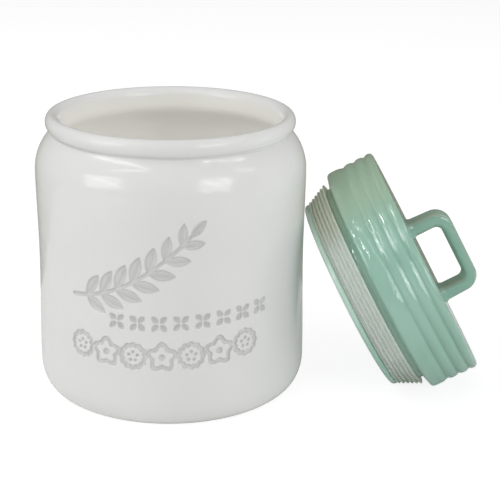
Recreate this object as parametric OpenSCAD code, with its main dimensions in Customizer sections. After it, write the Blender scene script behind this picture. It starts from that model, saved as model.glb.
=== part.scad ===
// Stoneware biscuit jar with a ribbed, sealed lid that lies on its side next to the jar.
// Millimetres, +Z up. The origin is the middle of the jar's foot, on the table.

/* [Jar] */
// Outer diameter of the body where the shoulder begins
body_d = 180; // [150:1:220]
// Height of the jar from foot to rim, without the lid
jar_h = 186.6; // [140:0.2:240]
// Thickness of the side wall
wall_t = 7; // [5:0.5:8]
// Height of the floor inside the jar above the table
floor_t = 9; // [6:0.5:14]
// How far the wall swells out just above the foot
foot_swell = 0.9; // [0:0.1:2]
// How far the wall draws in at mid height
waist = 0.9; // [0:0.1:2]
// Radial size of the rounding above the foot
foot_round_r = 9.2; // [6:0.2:14]
// Height of the rounding above the foot
foot_round_h = 17.2; // [10:0.2:24]
// Width of the ring that the jar stands on
foot_w = 10; // [6:0.5:16]
// Depth of the hollow inside the foot ring
foot_hollow = 2; // [1:0.5:4]
// Radius of the rounding between wall and floor inside the jar
floor_round = 12; // [6:1:18]
// Radius of the round shoulder
shoulder_r = 35; // [29:0.5:42]

/* [Mouth and rim] */
// How far the mouth's wall lies inside the body's outer radius
neck_step = 17.1; // [14:0.1:21]
// Height of the rim bead above the groove round the neck
rim_h = 11.2; // [8:0.2:14]
// How far the rim bead stands out of the groove
rim_lip = 4.2; // [3:0.1:6]
// Radial size of the rounding from the rim's crown into the mouth
mouth_round_r = 5.3; // [4:0.1:7]
// Height of the rounding from the rim's crown into the mouth
mouth_round_h = 6; // [4:0.2:8]

/* [Lid] */
// Height of the ribbed cap
cap_h = 34.2; // [24:0.2:44]
// How far the cap's edge lies inside the rim's outer edge
cap_inset = 1.3; // [0:0.1:2]
// Number of ribs round the cap
rib_n = 4; // [3:1:6]
// Depth of the valleys between the ribs
rib_depth = 1.3; // [0.5:0.1:2]
// Height of the lowest rib, the one next to the seal
rib_low_h = 12.4; // [6:0.2:14]
// Height of the topmost rib, the one next to the handle
rib_top_h = 6.2; // [4:0.2:9]
// Radius of the cap's lower edge
cap_low_round = 2.6; // [1:0.1:3]
// Radius of the cap's upper edge
cap_top_round = 2.8; // [1:0.1:3.5]
// How far the cap's underside slopes down towards the neck
under_drop = 2; // [0:0.1:3]
// Thickness of the lid's walls
lid_wall = 6; // [4.5:0.5:7.5]
// Clearance between the lid's neck and the mouth
neck_clear = 1.5; // [1:0.1:2.5]
// Height of the bare neck between the cap and the seal
neck_gap = 5; // [3:0.1:6]
// Clearance between the flange at the plug's end and the mouth
flange_clear = 4.8; // [3:0.1:6]
// Thickness of the flange at the plug's end
flange_h = 4.4; // [4:0.1:8]
// Radius of the flange's edges
flange_round = 2; // [1:0.1:2.4]

/* [Seal] */
// Width of the seal along the plug
seal_w = 14; // [12:0.1:19]
// Depth of the groove that holds the seal
groove_depth = 5.9; // [4:0.1:7]
// Number of fins on the seal
fin_n = 6; // [3:1:7]
// How far the largest fin reaches past the mouth's wall
fin_squeeze = 2.8; // [1:0.1:4]
// How far the smallest fin stays inside the mouth's wall
fin_ease = 3.6; // [1:0.1:4.5]
// Depth of the gaps between the fins
fin_depth = 2.4; // [1:0.1:2.6]
// Gap between the seal and the groove, all round
seal_fit = 0.05; // [0:0.01:0.2]

/* [Handle] */
// Length of the handle along the cap
handle_l = 62.8; // [50:0.2:76]
// How far the handle's middle lies off the lid's axis
handle_shift = 2.6; // [0:0.1:5]
// Height of the handle above the cap
handle_h = 27.4; // [22:0.2:36]
// Width of the handle's strap
strap_w = 14; // [10:0.5:20]
// Thickness of the two legs
leg_t = 10.4; // [6:0.2:12]
// Thickness of the bar across the top
bar_t = 8.4; // [6:0.2:10]
// How much narrower each end of the handle is at its top than on the cap
handle_draft = 0.8; // [0:0.1:2]
// Radius of the handle's outer corners
corner_out = 11.5; // [4:0.5:14]
// Radius of the corners of the finger hole
corner_in = 4.5; // [1:0.5:6]

/* [How the lid lies] */
// Turn of the lid about the vertical
lid_turn = -2.4; // [-20:0.1:20]
// Sideways offset of the lid's plug end from the jar's middle
lid_side = -10.3; // [-30:0.1:30]
// Gap between the leaning lid and the jar
lean_gap = 0.3; // [0.2:0.1:1]

/* [Hidden] */
$fn = 96;

// Radii and heights of the jar
body_r = body_d / 2;
inner_r = body_r - wall_t;
mouth_r = body_r - neck_step;
crown_r = mouth_r + mouth_round_r;
rim_r = crown_r + rim_lip;
shoulder_mid_r = body_r - shoulder_r;
inner_shoulder_r = shoulder_r - wall_t;
shoulder_turn = acos((crown_r - shoulder_mid_r) / shoulder_r);
inner_turn = acos((mouth_r - shoulder_mid_r) / inner_shoulder_r);
shoulder_z = jar_h - rim_h - shoulder_r * sin(shoulder_turn);
foot_out_r = body_r + foot_swell - foot_round_r;
foot_in_r = foot_out_r - foot_w;

// Radii and heights of the lid, whose own zero is the plane of the cap's lower edge
cap_r = rim_r - cap_inset;
rib_pitch = (cap_h - rib_low_h - rib_top_h) / (rib_n - 2);
neck_r = mouth_r - neck_clear;
groove_r = neck_r - groove_depth;
flange_r = mouth_r - flange_clear;
bore_r = groove_r - lid_wall;
cavity_r = cap_r - rib_depth - lid_wall;
seal_top = -neck_gap;
seal_low = seal_top - seal_w;
plug_low = seal_low - flange_h;
shelf_z = lid_wall - under_drop / 2;
ceiling_z = cap_h - lid_wall;
cavity_round = min(5, (ceiling_z - shelf_z) / 3);
lip_round = 1.5;

// Thickness of a fin's tip, spacing of the fins, and how far each rises from its root. The first
// fin lies on the flange and the last one ends level with the top of the ring
fin_tip = 0.6;
fin_pitch = (seal_w - 2 * seal_fit - fin_tip) / (fin_n - 1);
fin_rise = 0.45 * fin_pitch;

// The lid rests on its cap's lower edge and on its flange, both tangent to the table
cap_edge = [cap_r - cap_low_round, cap_low_round];
flange_edge = [flange_r - flange_round, plug_low + flange_round];
edge_step = cap_edge - flange_edge;
tilt = atan2(edge_step[0], edge_step[1])
    - asin((flange_round - cap_low_round) / norm(edge_step));
seat_z = cap_edge[0] * cos(tilt) - cap_edge[1] * sin(tilt) + cap_low_round;

// Middle of the flange's edge ring, and the reach of that ring along X and Y at an angle round it
ring_r = flange_edge[0];
ring_z = seat_z + flange_edge[1] * sin(tilt);
function ring_x(a) = -ring_r * (cos(a) * sin(tilt) * cos(lid_turn) - sin(a) * sin(lid_turn));
function ring_y(a) = -ring_r * (cos(a) * sin(tilt) * sin(lid_turn) + sin(a) * cos(lid_turn));
function ring_height(a) = ring_z + ring_r * cos(a) * cos(tilt);

// The ring moves out along X until it clears the wall by the gap at every angle
function reach(a) = wall_r(ring_height(a)) + flange_round + lean_gap;
function lean_x(a) = sqrt(pow(reach(a), 2) - pow(lid_side + ring_y(a), 2)) - ring_x(a);
ring_mid_x = max([for (a = [-60:0.5:60]) lean_x(a)]);
seat_x = ring_mid_x - flange_edge[1] * cos(tilt) * cos(lid_turn);
seat_y = lid_side - flange_edge[1] * cos(tilt) * sin(lid_turn);

// Outer radius of the jar's wall at a height: the body's radius, the swell above the foot
// falling off as a cosine, less the waist as a squared sine, both over the wall's height
function wall_part(z) = min(1, max(0, (z - foot_round_h) / (shoulder_z - foot_round_h)));
function wall_r(z) =
    body_r + foot_swell * (1 + cos(180 * wall_part(z))) / 2
    - waist * pow(sin(180 * wall_part(z)), 2);

// Heights of the valleys between the ribs, counted from the cap's underside to its top, and a
// point of a rib's rounded outside, whose part runs from 0 in one valley to 1 in the next
function valley(i) = i == 0 ? 0 : i == rib_n ? cap_h : rib_low_h + rib_pitch * (i - 1);
function rib_point(i, part) = [
    cap_r - rib_depth * pow(abs(2 * part - 1), 2.4),
    valley(i) + part * (valley(i + 1) - valley(i))
];

// Points of an arc of an ellipse, from one angle to another
function arc(mid, rx, ry, from, to, n = 10) =
    [for (i = [0:n]) let (a = from + (to - from) * i / n) mid + [rx * cos(a), ry * sin(a)]];

// Points of a fin, counted from the plug's end: its root, which the first has none of, then the
// lower and upper edge of its tip
function fin_z(i) = seal_low + seal_fit + fin_pitch * i;
function fin_r(i) = mouth_r - fin_ease + (fin_squeeze + fin_ease) * i / (fin_n - 1);
function fin(i) = [
    if (i > 0) [fin_r(i) - fin_depth, fin_z(i) - fin_rise],
    [fin_r(i), fin_z(i)],
    [fin_r(i), fin_z(i) + fin_tip]
];
function join(lists) = [for (list = lists) for (point = list) point];

// The jar: outline from the foot's middle, up the outside, over the rim and down the inside
module jar_body() {
    wall_steps = 20;
    wall_h = shoulder_z - foot_round_h;
    outline = join([
        [[0, foot_hollow], [foot_in_r - foot_hollow, foot_hollow], [foot_in_r, 0]],
        arc([foot_out_r, foot_round_h], foot_round_r, foot_round_h, -90, 0),
        [for (i = [1:wall_steps - 1])
            let (z = foot_round_h + wall_h * i / wall_steps) [wall_r(z), z]],
        arc([shoulder_mid_r, shoulder_z], shoulder_r, shoulder_r, 0, shoulder_turn, 14),
        arc([crown_r, jar_h - rim_h / 2], rim_lip, rim_h / 2, -80, 90, 16),
        arc([crown_r, jar_h - mouth_round_h], mouth_round_r, mouth_round_h, 99, 180, 9),
        arc([shoulder_mid_r, shoulder_z], inner_shoulder_r, inner_shoulder_r, inner_turn, 0),
        arc([inner_r - floor_round, floor_t + floor_round], floor_round, floor_round, 0, -90),
        [[0, floor_t]]
    ]);
    color("gainsboro") rotate_extrude() polygon(outline);
}

// Puts a piece of the lid where the lid lies, from its own frame with +Z through the handle
module as_it_lies() {
    translate([seat_x, seat_y, seat_z]) rotate([0, 90 - tilt, lid_turn]) children();
}

// The lid's clay shell: outline up the outside from the plug's end and down the hollow inside
module lid_cap() {
    rib_steps = 8;
    outline = join([
        arc(flange_edge, flange_round, flange_round, -90, 0, 6),
        arc([flange_r - lip_round, seal_low - lip_round], lip_round, lip_round, 0, 90, 5),
        [[groove_r, seal_low], [groove_r, seal_top], [neck_r, seal_top], [neck_r, -under_drop]],
        arc(cap_edge, cap_low_round, cap_low_round, -90, 0, 6),
        [for (i = [rib_steps / 2:rib_n * rib_steps - rib_steps / 2])
            let (point = rib_point(floor(i / rib_steps), i / rib_steps - floor(i / rib_steps)))
                if (point[1] < cap_h - cap_top_round) point],
        arc([cap_r - cap_top_round, cap_h - cap_top_round], cap_top_round, cap_top_round, 0, 90, 7),
        [[0, cap_h], [0, ceiling_z]],
        arc([cavity_r - cavity_round, ceiling_z - cavity_round], cavity_round, cavity_round, 90, 0, 6),
        arc([cavity_r - cavity_round, shelf_z + cavity_round], cavity_round, cavity_round, 0, -90, 6),
        [[bore_r, shelf_z]],
        arc([bore_r + lip_round, plug_low + lip_round], lip_round, lip_round, 180, 270, 5)
    ]);
    color("darkseagreen") as_it_lies() rotate_extrude() polygon(outline);
}

// The silicone ring in the plug's groove, a cone of sharp fins that grow towards the cap
module seal_ring() {
    inside = groove_r + seal_fit;
    outline = join([
        [[inside, seal_low + seal_fit]],
        join([for (i = [0:fin_n - 1]) fin(i)]),
        [[inside, seal_top - seal_fit]]
    ]);
    color("honeydew", 0.8) as_it_lies() rotate_extrude() polygon(outline);
}

// The strap handle: an upright frame on the cap with a finger hole that the cap closes below
module lid_handle() {
    out_x = handle_l / 2;
    top_x = out_x - handle_draft;
    hole_x = out_x - leg_t;
    hole_h = handle_h - bar_t;
    corner = [top_x - corner_out, handle_h - corner_out];
    frame = join([
        [[-out_x, 0], [out_x, 0]],
        arc(corner, corner_out, corner_out, 0, 90, 8),
        arc([-corner[0], corner[1]], corner_out, corner_out, 90, 180, 8)
    ]);
    hole = join([
        [[-hole_x, -1], [hole_x, -1]],
        arc([hole_x - corner_in, hole_h - corner_in], corner_in, corner_in, 0, 90, 5),
        arc([corner_in - hole_x, hole_h - corner_in], corner_in, corner_in, 90, 180, 5)
    ]);
    color("mediumaquamarine") as_it_lies()
        translate([handle_shift, strap_w / 2, cap_h]) rotate([90, 0, 0]) linear_extrude(strap_w)
            difference() {
                polygon(frame);
                polygon(hole);
            }
}

jar_body();
lid_cap();
lid_handle();
seal_ring();
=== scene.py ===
"""Biscuit jar with its lid lying beside it: a glazed jar with a pressed ornament, a ribbed green lid, a
strap handle and a finned silicone seal. Each piece is a surface worked out by formula, and takes the place
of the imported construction's part of the same shape.

Lengths are metres and +Z is up. The jar's axis is the Z axis and its foot stands on z = 0.
"""

import math

import bpy
import numpy as np
from bpy.props import FloatProperty, FloatVectorProperty, IntProperty, PointerProperty
from mathutils import Matrix, Vector


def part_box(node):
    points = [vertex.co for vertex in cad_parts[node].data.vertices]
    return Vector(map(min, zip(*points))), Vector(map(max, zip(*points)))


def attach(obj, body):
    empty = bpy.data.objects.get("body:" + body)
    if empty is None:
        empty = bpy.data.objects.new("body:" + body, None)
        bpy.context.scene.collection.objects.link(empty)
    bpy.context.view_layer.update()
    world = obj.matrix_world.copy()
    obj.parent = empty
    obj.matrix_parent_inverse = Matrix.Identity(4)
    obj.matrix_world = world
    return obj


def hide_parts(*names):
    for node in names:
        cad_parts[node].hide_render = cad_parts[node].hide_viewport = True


bl_info = {
    "name": "Biscuit Jar",
    "version": (1, 0, 0),
    "blender": (4, 5, 0),
    "location": "3D View > Sidebar > Biscuit Jar",
    "description": "Makes a glazed biscuit jar, its ribbed lid, strap handle and seal, and a plain studio",
    "category": "Object",
}

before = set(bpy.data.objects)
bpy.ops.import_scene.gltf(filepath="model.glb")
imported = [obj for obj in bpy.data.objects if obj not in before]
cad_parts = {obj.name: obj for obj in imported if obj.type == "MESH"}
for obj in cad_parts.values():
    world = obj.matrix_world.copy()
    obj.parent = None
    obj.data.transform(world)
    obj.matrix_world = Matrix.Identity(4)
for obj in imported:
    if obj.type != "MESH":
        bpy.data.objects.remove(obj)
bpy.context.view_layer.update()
MM = 0.001
STEP = 0.1 * MM  # between the points of a dense line


# ---------------------------------------------------------------- settings that a user would change


def length(name, millimetres, description):
    """A length property whose default is given in millimetres."""
    return FloatProperty(
        name=name, description=description, default=millimetres * MM, unit="LENGTH", precision=4
    )


def amount(name, value, description):
    """A plain number property."""
    return FloatProperty(name=name, description=description, default=value, precision=3)


def count(name, value, description):
    """A whole number property."""
    return IntProperty(name=name, description=description, default=value, min=2)


def angle(name, degrees, description):
    """An angle property whose default is given in degrees."""
    return FloatProperty(
        name=name, description=description, default=math.radians(degrees), unit="ROTATION"
    )


def tint(name, rgb, description):
    """A colour property whose default is given as display values from 0 to 255."""
    linear = [((c / 255 + 0.055) / 1.055) ** 2.4 for c in rgb]
    return FloatVectorProperty(
        name=name, description=description, default=linear, size=3, subtype="COLOR", min=0, max=1
    )


class JarSizes(bpy.types.PropertyGroup):
    """Sizes of the glazed jar."""

    height: length("Height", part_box("jar_body")[1].z / MM, "From the foot to the rim")
    body_r: length("Body radius", 90, "Outer radius where the shoulder begins")
    wall: length("Wall", 7, "Thickness of the side wall")
    floor: length("Floor", 9, "Height of the floor inside")
    swell: length("Swell", 0.9, "How far the wall swells out above the foot")
    waist: length("Waist", 0.9, "How far the wall draws in at mid height")
    foot_round_r: length("Foot rounding radius", 9.2, "Radial size of the rounding above the foot")
    foot_round_h: length("Foot rounding height", 17.2, "Height of the rounding above the foot")
    foot_width: length("Foot ring", 10, "Width of the ring that the jar stands on")
    foot_hollow: length("Foot hollow", 2, "Depth of the hollow inside the foot ring")
    floor_round: length("Floor rounding", 12, "Radius between the wall and the floor inside")
    shoulder_r: length("Shoulder radius", 35, "Radius of the round shoulder")
    neck_step: length("Neck step", 17.1, "How far the mouth lies inside the body's radius")
    rim_h: length("Rim height", 11.2, "Height of the rim bead above the groove")
    rim_lip: length("Rim lip", 4.2, "How far the rim bead stands out of the groove")
    mouth_round_r: length("Mouth rounding radius", 5.3, "Radial size of the rounding into the mouth")
    mouth_round_h: length("Mouth rounding height", 6, "Height of the rounding into the mouth")
    unevenness: length("Unevenness", 0.35, "How far the hand-cast wall wanders inwards")


class PanelSizes(bpy.types.PropertyGroup):
    """Sizes of the ornament pressed into the jar's front."""

    depth: length("Depth", 1.15, "Depth of the pressed ornament")
    edge: length("Soft edge", 0.95, "Width over which a pressed edge slopes down")
    stem_w: length("Stem width", 3.0, "Width of the sprig's stem")
    leaf_l: length("Leaf length", 19, "Length of the sprig's largest leaf")
    leaf_w: length("Leaf width", 8.0, "Width of the sprig's largest leaf")
    leaf_pairs: count("Leaf pairs", 7, "Pairs of leaves on the sprig")
    flowers: count("Flowers", 8, "Small flowers in the middle row")
    flower_r: length("Flower radius", 6.2, "Radius of a small flower")
    biscuits: count("Biscuits", 7, "Biscuits in the lower row")
    biscuit_r: length("Biscuit radius", 7.6, "Radius of a biscuit's middle line")
    biscuit_w: length("Biscuit line", 3.4, "Width of a biscuit's pressed line")


class LidSizes(bpy.types.PropertyGroup):
    """Sizes of the ribbed lid and of how it lies."""

    cap_h: length("Cap height", 34.2, "Height of the ribbed cap")
    cap_r: length("Cap radius", 81.1, "Outer radius of the ribs")
    ribs: count("Ribs", 4, "Ribs round the cap")
    rib_low: length("Lowest rib", 12.4, "Height of the rib next to the seal")
    rib_top: length("Topmost rib", 6.2, "Height of the rib next to the handle")
    rib_depth: length("Rib depth", 1.3, "Depth of the valleys between the ribs")
    low_round: length("Lower edge", 2.6, "Radius of the cap's lower edge")
    top_round: length("Upper edge", 2.8, "Radius of the cap's upper edge")
    under_drop: length("Underside slope", 2, "How far the underside slopes down to the neck")
    wall: length("Wall", 6, "Thickness of the lid's walls")
    neck_r: length("Neck radius", 71.4, "Radius of the plug's neck")
    neck_gap: length("Bare neck", 5, "Height of the neck between the cap and the seal")
    flange_r: length("Flange radius", 68.1, "Radius of the flange at the plug's end")
    flange_h: length("Flange height", 4.4, "Height of the flange at the plug's end")
    flange_round: length("Flange rounding", 2, "Radius of the flange's edge")
    groove_depth: length("Groove depth", 5.9, "Depth of the groove that holds the seal")
    turn: angle("Turn", -2.4, "Turn of the lying lid about the vertical")
    unevenness: length("Unevenness", 0.22, "How far the hand-finished cap wanders inwards")


class SealSizes(bpy.types.PropertyGroup):
    """Sizes of the silicone ring in the plug's groove."""

    width: length("Width", 14, "Width of the ring along the plug")
    fins: count("Fins", 6, "Fins round the ring")
    small_r: length("Smallest fin", 69.3, "Radius of the fin next to the flange")
    large_r: length("Largest fin", 75.7, "Radius of the fin next to the cap")
    fin_depth: length("Fin depth", 2.4, "Depth of the gaps between the fins")
    fin_tip: length("Fin tip", 0.6, "Thickness of a fin's tip")
    waver: length("Waver", 0.1, "How far the soft fin tips waver")


class HandleSizes(bpy.types.PropertyGroup):
    """Sizes of the strap handle."""

    long: length("Length", 62.8, "Length along the cap")
    shift: length("Shift", 2.6, "How far the handle's middle lies off the lid's axis")
    high: length("Height", 27.4, "Height above the cap")
    width: length("Width", 14, "Width of the strap")
    leg: length("Leg thickness", 10.4, "Thickness of the two legs")
    bar: length("Bar thickness", 8.4, "Thickness of the bar across the top")
    draft: length("Draft", 0.8, "How much each end draws in towards the top")
    outer_round: length("Outer corner", 11.5, "Radius of the outer corners")
    inner_round: length("Inner corner", 4.5, "Radius of the finger hole's corners")
    edge_round: length("Strap edge", 3.1, "Radius of the strap's long edges")
    flare: length("Foot flare", 1.1, "How far the luted foot spreads on the cap")
    flare_h: length("Foot flare height", 3.2, "Height of the luted foot's spread")


class Finishes(bpy.types.PropertyGroup):
    """Colours of the glazes, the clay and the silicone."""

    white: tint("White glaze", (234, 234, 233), "Glaze of the jar")
    # white_pool_and_shade is glaze lying thick, and also painted shade in the ornament and the hollows.
    white_pool_and_shade: tint("White glaze, pooled", (196, 195, 190), "The same glaze where it lies thick")
    clay: tint("Bare clay", (214, 205, 190), "The wiped foot ring that the jar stands on")
    mint: tint("Green glaze", (150, 190, 174), "Glaze of the lid")
    # mint_pool_and_shade is glaze lying thick, and also painted shade in valleys, recesses, under the bar
    # and on the lower side.
    mint_pool_and_shade: tint("Green glaze, pooled", (111, 155, 135), "The same glaze where it lies thick")
    # mint_thin_and_reflection is glaze breaking on edges, and a painted olive reflection on faces that face
    # up.
    mint_thin_and_reflection: tint("Green glaze, thin", (150, 166, 150), "The same glaze where it breaks on edges")
    # mint_upper_reflection is a painted olive reflection on the side that faces up where the lid lies.
    mint_upper_reflection: tint("Green glaze, warm", (160, 188, 164), "The same glaze on the side fired hotter")
    # mint_thin_and_lit is a thin coat with a painted highlight on the flange, and painted light on the neck
    # under the cap.
    mint_thin_and_lit: tint("Green glaze, pale", (196, 220, 207), "The thin coat on the plug")
    # silicone is painted light: the gaps between the fins are lifted to it against the shade in them.
    silicone: tint("Silicone", (221, 231, 223), "The milky seal where it glows, between the fins")
    # silicone_shaded is painted shade where the lying ring turns up or down and by the flange.
    silicone_shaded: tint("Silicone, deep", (143, 153, 142), "The same where it turns up or down")
    # silicone_upper_reflection is a painted olive reflection and shade on the ring's upper side.
    silicone_upper_reflection: tint("Silicone, warm", (184, 190, 171), "The same where the warm glaze shows through")
    # white_inside_bounce is a warmer tint inside: painted light bounced between the inner walls.
    white_inside_bounce: tint("White glaze, inside", (236, 235, 230), "The glaze inside the jar")


class StageSettings(bpy.types.PropertyGroup):
    """Camera, lamps and floor."""

    camera_y: length("Camera distance", 786.176, "How far in front of the jar's axis the camera stands")
    camera_z: length("Camera height", 365.91, "Height of the camera")
    pan: angle("Pan", -3.8738, "Turn of the camera away from straight ahead, left counts up")
    pitch: angle("Pitch", 19.3674, "How far the camera looks down")
    roll: angle("Roll", 0.8634, "How far the camera leans")
    focal: amount("Focal length", 87.64, "Millimetres on a 36 mm frame")
    sky: amount("Sky", 0.3, "Brightness of the even light from all round")
    left_window: amount("Left window", 3.0, "Brightness of the left window")
    right_window: amount("Right window", 2.8, "Brightness of the right window")
    tubes: amount("Tubes", 9.0, "Brightness of the tubes and panes that the glaze mirrors")
    over_fill: amount("Overhead fill", 3.26, "Brightness of the soft light from above on the left")
    front_fill: amount("Front fill", 0.02, "Brightness of the soft light from the front")
    top_fill: amount("Top fill", 0.18, "Brightness of the soft light from above")
    left_fill: amount("Left fill", 0.1, "Brightness of the soft light from the left")
    right_fill: amount("Right fill", 1.2, "Brightness of the soft light from the right on the jar")
    back_fill: amount("Back fill", 0.25, "Brightness of the soft light from behind")
    gap_fill: amount("Gap fill", 4.1, "Brightness of the soft light into the gap between jar and lid")
    mouth_lamp: amount("Mouth lamp", 0.79, "Brightness of the small lamp that lights the inside")


class BiscuitJarSettings(bpy.types.PropertyGroup):
    """All settings, in their groups."""

    jar: PointerProperty(type=JarSizes)
    panel: PointerProperty(type=PanelSizes)
    lid: PointerProperty(type=LidSizes)
    seal: PointerProperty(type=SealSizes)
    handle: PointerProperty(type=HandleSizes)
    finishes: PointerProperty(type=Finishes)
    stage: PointerProperty(type=StageSettings)


# ---------------------------------------------------------------- outlines


def ease(value, full):
    """Smooth step: 0 below 0, 1 above full, and 3t^2 - 2t^3 of the share t between."""
    t = np.clip(value / full, 0, 1)
    return t * t * (3 - 2 * t)


def arc(middle, radius_r, radius_z, start, end, steps=32):
    """Points of an ellipse's arc: its middle plus the radii times the cosine and sine of the angle."""
    turn = np.radians(np.linspace(start, end, steps + 1))
    return np.column_stack([middle[0] + radius_r * np.cos(turn), middle[1] + radius_z * np.sin(turn)])


def dense(outline, step=STEP):
    """The same broken line with a point every step along it."""
    run = np.concatenate([[0], np.cumsum(np.hypot(*np.diff(outline, axis=0).T))])
    at = np.linspace(0, run[-1], int(run[-1] / step) + 1)
    return np.column_stack([np.interp(at, run, outline[:, k]) for k in (0, 1)])


def soften(outline, reach, ring=False, step=STEP):
    """Rounds every corner as melted glaze does: each point becomes the bell-weighted mean of its
    neighbours along the line. A ring goes on past its end, and an outline that ends on the axis goes on
    as its own mirror image, so that it meets the axis square."""
    line = dense(outline, step)
    half = int(4 * reach / step)
    bell = np.exp(-0.5 * (np.arange(-half, half + 1) * step / reach) ** 2)
    bell /= bell.sum()
    if ring:
        line = line[:-1]
        before, after = line[-half:], line[:half]
    else:
        mirror = np.array([-1, 1])
        before, after = line[half:0:-1] * mirror, line[-2 : -half - 2 : -1] * mirror
    padded = np.vstack([before, line, after])
    line = np.column_stack([np.convolve(padded[:, k], bell, "valid") for k in (0, 1)])
    return np.vstack([line, line[:1]]) if ring else line


def convexity(line, reach=0.8 * MM, step=STEP):
    """Signed curvature along a dense line, per metre: the heading's change over the length. Outer edges
    count up and hollows down, because every outline keeps its solid on its left."""
    heading = np.unwrap(np.arctan2(np.gradient(line[:, 1]), np.gradient(line[:, 0])))
    half = int(3 * reach / step)
    bell = np.exp(-0.5 * (np.arange(-half, half + 1) * step / reach) ** 2)
    bend = np.gradient(heading) / step
    return np.convolve(np.pad(bend, half, "edge"), bell / bell.sum(), "valid")


def pick_rows(line, bend, turn_step, finest, coarsest, cap=None):
    """Picks points of a dense line so that each step turns about turn_step radians: the spacing is that
    angle over the curvature, kept between finest and coarsest, and under cap where one is given."""
    spacing = np.clip(turn_step / np.maximum(np.abs(bend), 1e-6), finest, coarsest)
    if cap is not None:
        spacing = np.minimum(spacing, cap)
    steps = np.hypot(*np.diff(line, axis=0).T) * 2 / (spacing[1:] + spacing[:-1])
    count = np.concatenate([[0], np.cumsum(steps)])
    at = np.linspace(0, count[-1], int(round(count[-1])) + 1)
    columns = [np.interp(at, count, values) for values in (line[:, 0], line[:, 1], bend)]
    return np.column_stack(columns[:2]), columns[2]


def jar_outline(jar):
    """The jar's outline from its foot's middle, up the outside, over the rim and down the inside. The wall
    is the body's radius, plus a swell that falls off as a cosine, less a waist that is a squared sine."""
    mouth_r = jar.body_r - jar.neck_step
    crown_r = mouth_r + jar.mouth_round_r
    middle_r = jar.body_r - jar.shoulder_r
    turn = math.degrees(math.acos((crown_r - middle_r) / jar.shoulder_r))
    inner_round = jar.shoulder_r - jar.wall
    inner_turn = math.degrees(math.acos((mouth_r - middle_r) / inner_round))
    shoulder_z = jar.height - jar.rim_h - jar.shoulder_r * math.sin(math.radians(turn))
    foot_r = jar.body_r + jar.swell - jar.foot_round_r
    ring_r = foot_r - jar.foot_width
    inner_r = jar.body_r - jar.wall
    up = np.linspace(0, 1, 80)[1:-1]
    wall = np.column_stack(
        [
            jar.body_r + jar.swell * (1 + np.cos(np.pi * up)) / 2 - jar.waist * np.sin(np.pi * up) ** 2,
            jar.foot_round_h + (shoulder_z - jar.foot_round_h) * up,
        ]
    )
    floor_middle = (inner_r - jar.floor_round, jar.floor + jar.floor_round)
    return np.vstack(
        [
            [[0, jar.foot_hollow], [ring_r - jar.foot_hollow, jar.foot_hollow], [ring_r, 0]],
            arc((foot_r, jar.foot_round_h), jar.foot_round_r, jar.foot_round_h, -90, 0),
            wall,
            arc((middle_r, shoulder_z), jar.shoulder_r, jar.shoulder_r, 0, turn),
            arc((crown_r, jar.height - jar.rim_h / 2), jar.rim_lip, jar.rim_h / 2, -80, 90),
            arc((crown_r, jar.height - jar.mouth_round_h), jar.mouth_round_r, jar.mouth_round_h, 92, 180),
            arc((middle_r, shoulder_z), inner_round, inner_round, inner_turn, 0),
            arc(floor_middle, jar.floor_round, jar.floor_round, 0, -90),
            [[0, jar.floor]],
        ]
    )


def lid_outline(lid, seal):
    """The lid's outline from the ceiling's middle, down the hollow, round the plug's end, up past the
    groove and the ribs, to the cap's middle. The cap's radius is the least of three: that of the ribs,
    which falls off from each crest as the distance to the power 2.4, and those of its two round edges."""
    groove_r = lid.neck_r - lid.groove_depth
    seal_top = -lid.neck_gap
    seal_low = seal_top - seal.width
    plug_low = seal_low - lid.flange_h
    bore_r = groove_r - lid.wall
    cavity_r = lid.cap_r - lid.rib_depth - lid.wall
    ceiling, shelf = lid.cap_h - lid.wall, lid.wall - lid.under_drop / 2
    corner, lip, end = 5 * MM, 1.5 * MM, lid.flange_round
    middles = np.linspace(lid.rib_low, lid.cap_h - lid.rib_top, lid.ribs - 1)
    valleys = np.concatenate([[0], middles, [lid.cap_h]])
    up = lid.cap_h * (1 - np.cos(np.linspace(0, np.pi, 600))) / 2
    rib = np.clip(np.searchsorted(valleys, up, "right") - 1, 0, lid.ribs - 1)
    place = 2 * (up - valleys[rib]) / np.diff(valleys)[rib] - 1
    fall = lid.rib_depth * np.abs(place) ** 2.4
    at_end = (rib == 0) & (place < 0) | (rib == lid.ribs - 1) & (place > 0)
    ribbed = lid.cap_r - np.where(at_end, 0.6 * fall, fall)
    low = np.maximum(lid.low_round - up, 0) / lid.low_round
    top = np.maximum(up - lid.cap_h + lid.top_round, 0) / lid.top_round
    low_edge = lid.cap_r - lid.low_round * (1 - np.sqrt(1 - np.minimum(low, 1) ** 2))
    top_edge = lid.cap_r - lid.top_round * (1 - np.sqrt(1 - np.minimum(top, 1) ** 2))
    outside = np.column_stack([np.minimum(ribbed, np.minimum(low_edge, top_edge)), up])
    return np.vstack(
        [
            [[0, ceiling]],
            arc((cavity_r - corner, ceiling - corner), corner, corner, 90, 0),
            arc((cavity_r - corner, shelf + corner), corner, corner, 0, -90),
            [[bore_r, shelf]],
            arc((bore_r + lip, plug_low + lip), lip, lip, 180, 270),
            arc((lid.flange_r - end, plug_low + end), end, end, -90, 0),
            arc((lid.flange_r - lip, seal_low - lip), lip, lip, 0, 90),
            [[groove_r, seal_low], [groove_r, seal_top], [lid.neck_r, seal_top]],
            [[lid.neck_r, -lid.under_drop]],
            outside,
            [[0, lid.cap_h]],
        ]
    )


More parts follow.
